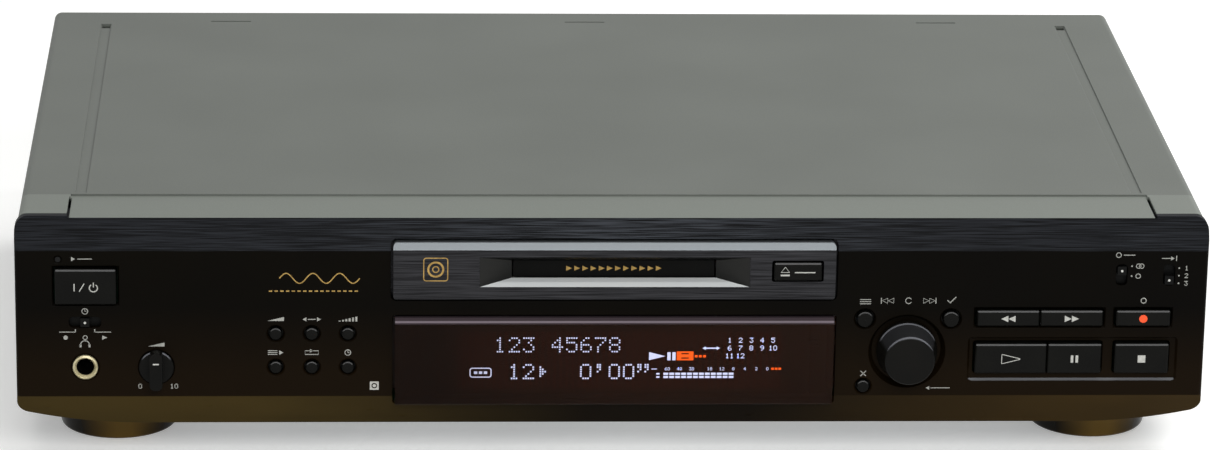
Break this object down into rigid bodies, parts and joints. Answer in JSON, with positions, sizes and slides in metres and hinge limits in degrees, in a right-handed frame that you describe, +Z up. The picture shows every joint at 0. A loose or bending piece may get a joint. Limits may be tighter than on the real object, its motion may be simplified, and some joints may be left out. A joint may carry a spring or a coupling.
{
  "type": "minidisc deck",
  "caption": "Full-width disc recorder deck with a front loading slot, display window, jog knob, push buttons and rear sockets.",
  "frame": {"origin": "on the surface the feet stand on, in the middle of the deck's width and depth", "axes": "+X to the right as seen from the front, +Y to the rear, +Z up"},
  "size_m": [0.43, 0.287, 0.095],
  "materials": {
    "cover_paint": "fine-grained satin paint",
    "rear_paint": "satin black paint",
    "zinc_steel": "zinc-plated sheet",
    "panel_plastic": "moulded, hairline-finished top strip",
    "bezel_metal": "brushed and dark anodised",
    "window_acrylic": "polished smoked acrylic",
    "tube_glass": "clear glass over dark electrodes",
    "black_plastic": "moulded",
    "button_plastic": "satin moulded caps",
    "foot_plastic": "glossy moulded",
    "jack_metal": "pale gold-plated ring",
    "socket_shell": "nickel-plated shells in a moulded block",
    "board_resin": "laminate with solder resist",
    "component_mix": "moulded packages and cans",
    "core_steel": "varnished laminations and taped winding",
    "dark_screw": "blackened screws",
    "damper_rubber": "soft rubber",
    "cast_alloy": "die-cast",
    "bright_steel": "ground steel",
    "motor_can": "drawn steel cans",
    "gear_acetal": "natural acetal",
    "cable_film": "white flat cable"
  },
  "bodies": {
    "deck": {"chassis_pan": "zinc_steel", "rear_panel": "rear_paint", "top_cover": "cover_paint", "front_panel": "panel_plastic", "loading_bezel": "bezel_metal", "display_window": "window_acrylic", "display_tube": "tube_glass", "tube_holder": "black_plastic", "panel_board": "board_resin", "phones_jack": "jack_metal", "feet": "foot_plastic", "case_screws": "dark_screw", "power_transformer": "core_steel", "main_board": "board_resin", "board_components": "component_mix", "phono_jacks": "socket_shell", "optical_sockets": "black_plastic", "cord_gland": "black_plastic", "mech_frame": "zinc_steel", "mech_dampers": "damper_rubber", "base_unit": "cast_alloy", "guide_rods": "bright_steel", "drive_motors": "motor_can", "loading_belt": "damper_rubber", "ribbon_cables": "cable_film"},
    "power_button": {"power_button": "button_plastic"},
    "fader_button": {"fader_button": "button_plastic"},
    "scroll_button": {"scroll_button": "button_plastic"},
    "level_button": {"level_button": "button_plastic"},
    "play_mode_button": {"play_mode_button": "button_plastic"},
    "repeat_button": {"repeat_button": "button_plastic"},
    "time_button": {"time_button": "button_plastic"},
    "menu_button": {"menu_button": "button_plastic"},
    "yes_button": {"yes_button": "button_plastic"},
    "clear_button": {"clear_button": "button_plastic"},
    "rewind_button": {"rewind_button": "button_plastic"},
    "forward_button": {"forward_button": "button_plastic"},
    "record_button": {"record_button": "button_plastic"},
    "play_button": {"play_button": "button_plastic"},
    "pause_button": {"pause_button": "button_plastic"},
    "stop_button": {"stop_button": "button_plastic"},
    "eject_button": {"eject_button": "button_plastic"},
    "timer_switch": {"timer_switch": "button_plastic"},
    "mode_switch": {"mode_switch": "button_plastic"},
    "input_switch": {"input_switch": "button_plastic"},
    "level_knob": {"level_knob": "button_plastic"},
    "jog_shaft": {"jog_shaft": "bright_steel"},
    "jog_knob": {"jog_knob": "button_plastic"},
    "disc_flap": {"disc_flap": "black_plastic"},
    "cam_slider": {"cam_slider": "gear_acetal"},
    "disc_holder": {"disc_holder": "zinc_steel"},
    "catch_slider": {"catch_slider": "gear_acetal"},
    "loading_wheel": {"loading_wheel": "gear_acetal"},
    "pulley_gear": {"pulley_gear": "gear_acetal"},
    "motor_pulley": {"motor_pulley": "bright_steel"},
    "turntable": {"turntable": "bright_steel"},
    "optical_pickup": {"optical_pickup": "cast_alloy"},
    "sled_gear": {"sled_gear": "gear_acetal"},
    "sled_pinion": {"sled_pinion": "bright_steel"},
    "head_arm": {"head_arm": "zinc_steel"}
  },
  "joints": [
    {"name": "power_press", "type": "slide", "parent": "deck", "child": "power_button", "axis": [0, 1, 0], "range_m": [0, 0.001], "stiffness_N_per_m": 2000},
    {"name": "fader_press", "type": "slide", "parent": "deck", "child": "fader_button", "axis": [0, 1, 0], "range_m": [0, 0.001], "stiffness_N_per_m": 1200},
    {"name": "scroll_press", "type": "slide", "parent": "deck", "child": "scroll_button", "axis": [0, 1, 0], "range_m": [0, 0.001], "stiffness_N_per_m": 1200},
    {"name": "level_press", "type": "slide", "parent": "deck", "child": "level_button", "axis": [0, 1, 0], "range_m": [0, 0.001], "stiffness_N_per_m": 1200},
    {"name": "play_mode_press", "type": "slide", "parent": "deck", "child": "play_mode_button", "axis": [0, 1, 0], "range_m": [0, 0.001], "stiffness_N_per_m": 1200},
    {"name": "repeat_press", "type": "slide", "parent": "deck", "child": "repeat_button", "axis": [0, 1, 0], "range_m": [0, 0.001], "stiffness_N_per_m": 1200},
    {"name": "time_press", "type": "slide", "parent": "deck", "child": "time_button", "axis": [0, 1, 0], "range_m": [0, 0.001], "stiffness_N_per_m": 1200},
    {"name": "menu_press", "type": "slide", "parent": "deck", "child": "menu_button", "axis": [0, 1, 0], "range_m": [0, 0.001], "stiffness_N_per_m": 1200},
    {"name": "yes_press", "type": "slide", "parent": "deck", "child": "yes_button", "axis": [0, 1, 0], "range_m": [0, 0.001], "stiffness_N_per_m": 1200},
    {"name": "clear_press", "type": "slide", "parent": "deck", "child": "clear_button", "axis": [0, 1, 0], "range_m": [0, 0.001], "stiffness_N_per_m": 1200},
    {"name": "rewind_press", "type": "slide", "parent": "deck", "child": "rewind_button", "axis": [0, 1, 0], "range_m": [0, 0.001], "stiffness_N_per_m": 1200},
    {"name": "forward_press", "type": "slide", "parent": "deck", "child": "forward_button", "axis": [0, 1, 0], "range_m": [0, 0.001], "stiffness_N_per_m": 1200},
    {"name": "record_press", "type": "slide", "parent": "deck", "child": "record_button", "axis": [0, 1, 0], "range_m": [0, 0.001], "stiffness_N_per_m": 1200},
    {"name": "play_press", "type": "slide", "parent": "deck", "child": "play_button", "axis": [0, 1, 0], "range_m": [0, 0.001], "stiffness_N_per_m": 2000},
    {"name": "pause_press", "type": "slide", "parent": "deck", "child": "pause_button", "axis": [0, 1, 0], "range_m": [0, 0.001], "stiffness_N_per_m": 2000},
    {"name": "stop_press", "type": "slide", "parent": "deck", "child": "stop_button", "axis": [0, 1, 0], "range_m": [0, 0.001], "stiffness_N_per_m": 2000},
    {"name": "eject_press", "type": "slide", "parent": "deck", "child": "eject_button", "axis": [0, 1, 0], "range_m": [0, 0.001], "stiffness_N_per_m": 1200},
    {"name": "timer_slide", "type": "slide", "parent": "deck", "child": "timer_switch", "axis": [1, 0, 0], "range_m": [-0.0036, 0.0036]},
    {"name": "mode_slide", "type": "slide", "parent": "deck", "child": "mode_switch", "axis": [0, 0, 1], "range_m": [-0.0034, 0]},
    {"name": "input_slide", "type": "slide", "parent": "deck", "child": "input_switch", "axis": [0, 0, 1], "range_m": [0, 0.0037]},
    {"name": "level_turn", "type": "hinge", "parent": "deck", "child": "level_knob", "pos_m": [-0.1647, -0.1325, 0.0395], "axis": [0, 1, 0], "range_deg": [-140, 140]},
    {"name": "jog_press", "type": "slide", "parent": "deck", "child": "jog_shaft", "axis": [0, 1, 0], "range_m": [0, 0.0008], "stiffness_N_per_m": 3000},
    {"name": "jog_turn", "type": "hinge", "parent": "jog_shaft", "child": "jog_knob", "pos_m": [0.1065, -0.1325, 0.0453], "axis": [0, 1, 0], "continuous": true},
    {"name": "flap_swing", "type": "hinge", "parent": "deck", "child": "disc_flap", "pos_m": [0, -0.1248, 0.0789], "axis": [1, 0, 0], "range_deg": [0, 80], "stiffness_Nm_per_rad": 0.002},
    {"name": "cam_slide", "type": "slide", "parent": "deck", "child": "cam_slider", "axis": [0, 1, 0], "range_m": [0, 0.01]},
    {"name": "holder_lower", "type": "slide", "parent": "deck", "child": "disc_holder", "axis": [0, 0, -1], "range_m": [0, 0.005]},
    {"name": "catch_slide", "type": "slide", "parent": "disc_holder", "child": "catch_slider", "axis": [0, 1, 0], "range_m": [0, 0.039]},
    {"name": "loading_wheel_turn", "type": "hinge", "parent": "deck", "child": "loading_wheel", "pos_m": [-0.0274, -0.0405, 0.046], "axis": [0, 0, 1], "range_deg": [-159.3, 0]},
    {"name": "pulley_gear_turn", "type": "hinge", "parent": "deck", "child": "pulley_gear", "pos_m": [-0.013, -0.0405, 0.046], "axis": [0, 0, 1], "range_deg": [0, 477.6]},
    {"name": "motor_pulley_turn", "type": "hinge", "parent": "deck", "child": "motor_pulley", "pos_m": [0.014, -0.0345, 0.046], "axis": [0, 0, 1], "range_deg": [0, 1432.5]},
    {"name": "disc_turn", "type": "hinge", "parent": "deck", "child": "turntable", "pos_m": [0, -0.0755, 0.06], "axis": [0, 0, 1], "continuous": true},
    {"name": "sled_slide", "type": "slide", "parent": "deck", "child": "optical_pickup", "axis": [1, 0, 0], "range_m": [0, 0.016]},
    {"name": "sled_gear_turn", "type": "hinge", "parent": "deck", "child": "sled_gear", "pos_m": [0.028, -0.1006, 0.05], "axis": [0, 0, 1], "range_deg": [-254.8, 0]},
    {"name": "sled_pinion_turn", "type": "hinge", "parent": "deck", "child": "sled_pinion", "pos_m": [0.01672, -0.1047, 0.05], "axis": [0, 0, 1], "range_deg": [0, 764.1]},
    {"name": "head_lower", "type": "hinge", "parent": "optical_pickup", "child": "head_arm", "pos_m": [0.0412, -0.0755, 0.0806], "axis": [0, -1, 0], "range_deg": [0, 18]}
  ],
  "couplings": [
    {"joint": "holder_lower", "follows": "cam_slide", "ratio": 0.5},
    {"joint": "loading_wheel_turn", "follows": "cam_slide", "rad_per_m": -277.78},
    {"joint": "pulley_gear_turn", "follows": "cam_slide", "rad_per_m": 833.33},
    {"joint": "motor_pulley_turn", "follows": "cam_slide", "rad_per_m": 2500},
    {"joint": "head_lower", "follows": "cam_slide", "rad_per_m": 31.415},
    {"joint": "sled_gear_turn", "follows": "sled_slide", "rad_per_m": -277.78},
    {"joint": "sled_pinion_turn", "follows": "sled_slide", "rad_per_m": 833.33}
  ]
}
